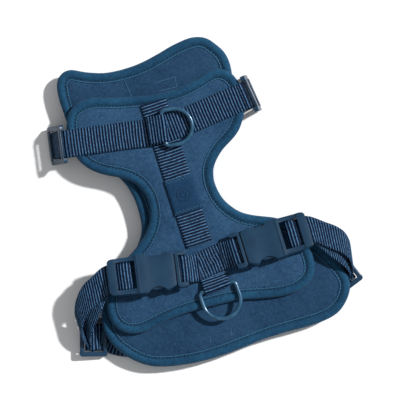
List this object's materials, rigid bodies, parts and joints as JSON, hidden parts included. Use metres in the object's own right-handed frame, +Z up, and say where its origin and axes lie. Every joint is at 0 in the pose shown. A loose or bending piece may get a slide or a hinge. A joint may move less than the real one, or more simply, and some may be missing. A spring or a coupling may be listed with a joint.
{
  "type": "no pull dog harness",
  "caption": "Padded dog walking harness of front and back panels joined by webbing straps, with side-release buckles, slide adjusters and leash rings.",
  "frame": {"origin": "middle of the footprint on the floor, with the harness laid flat", "axes": "+Z up from the floor, +Y towards the neck end, +X to the right as seen from above"},
  "size_m": [0.2757, 0.2979, 0.0413],
  "materials": {
    "pad_fabric": "soft, slightly heathered matte",
    "foam_core": "matte closed-cell foam",
    "lining_fabric": "soft matte",
    "binding_fabric": "soft matte, rolled",
    "webbing": "ribbed woven",
    "patch_fabric": "matte woven patch",
    "buckle_plastic": "satin moulded",
    "ring_metal": "smooth satin coat"
  },
  "bodies": {
    "back_panel": {"back_shell": "pad_fabric", "back_foam": "foam_core", "back_lining": "lining_fabric", "back_binding": "binding_fabric", "back_spine_webbing": "webbing", "back_neck_webbing": "webbing", "back_girth_webbing": "webbing", "leash_ring_keeper": "webbing", "left_girth_strap": "webbing", "right_girth_strap": "webbing", "left_girth_slider": "buckle_plastic", "right_girth_slider": "buckle_plastic", "left_outer_curl": "webbing", "left_inner_curl": "webbing", "right_outer_curl": "webbing", "right_inner_curl": "webbing", "left_neck_strap": "webbing", "right_neck_strap": "webbing"},
    "front_panel": {"front_shell": "pad_fabric", "front_foam": "foam_core", "front_lining": "lining_fabric", "front_binding": "binding_fabric", "front_spine_webbing": "webbing", "front_neck_webbing": "webbing", "front_girth_webbing": "webbing", "left_plug_webbing": "webbing", "right_plug_webbing": "webbing", "label_patch": "patch_fabric", "chest_ring_keeper": "webbing", "girth_ring_keeper": "webbing", "left_male_buckle": "buckle_plastic", "right_male_buckle": "buckle_plastic", "left_upper_spring_arm": "buckle_plastic", "left_lower_spring_arm": "buckle_plastic", "right_upper_spring_arm": "buckle_plastic", "right_lower_spring_arm": "buckle_plastic", "left_strap_loop": "webbing", "right_strap_loop": "webbing", "left_neck_slider": "buckle_plastic", "right_neck_slider": "buckle_plastic"},
    "left_socket": {"left_female_buckle": "buckle_plastic"},
    "right_socket": {"right_female_buckle": "buckle_plastic"},
    "chest_ring": {"chest_ring": "ring_metal"},
    "girth_ring": {"girth_ring": "ring_metal"},
    "leash_ring": {"leash_ring": "ring_metal"}
  },
  "joints": [
    {"name": "panel_lift", "type": "hinge", "parent": "back_panel", "child": "front_panel", "pos_m": [0, 0.1195, 0.0163], "axis": [-1, 0, 0], "range_deg": [0, 12], "deforming": ["left_outer_curl", "left_inner_curl", "right_outer_curl", "right_inner_curl", "left_neck_strap", "right_neck_strap"]},
    {"name": "left_socket_slide", "type": "slide", "parent": "front_panel", "child": "left_socket", "axis": [-0.9833, 0.1822, 0], "range_m": [0, 0.02], "deforming": ["left_strap_loop", "left_outer_curl", "left_inner_curl", "left_upper_spring_arm", "left_lower_spring_arm"]},
    {"name": "right_socket_slide", "type": "slide", "parent": "front_panel", "child": "right_socket", "axis": [0.9998, -0.0175, 0], "range_m": [0, 0.02], "deforming": ["right_strap_loop", "right_outer_curl", "right_inner_curl", "right_upper_spring_arm", "right_lower_spring_arm"]},
    {"name": "chest_ring_swing", "type": "hinge", "parent": "front_panel", "child": "chest_ring", "pos_m": [0.003, 0.0689, 0.02907], "axis": [-0.1564, -0.9877, 0], "range_deg": [0, 150]},
    {"name": "girth_ring_swing", "type": "hinge", "parent": "front_panel", "child": "girth_ring", "pos_m": [0.0045, -0.0862, 0.02607], "axis": [-0.9994, -0.0349, 0], "range_deg": [0, 120]},
    {"name": "leash_ring_swing", "type": "hinge", "parent": "back_panel", "child": "leash_ring", "pos_m": [0.0075, 0.0623, 0.0034], "axis": [-0.9994, 0.0349, 0], "range_deg": [0, 150]}
  ]
}
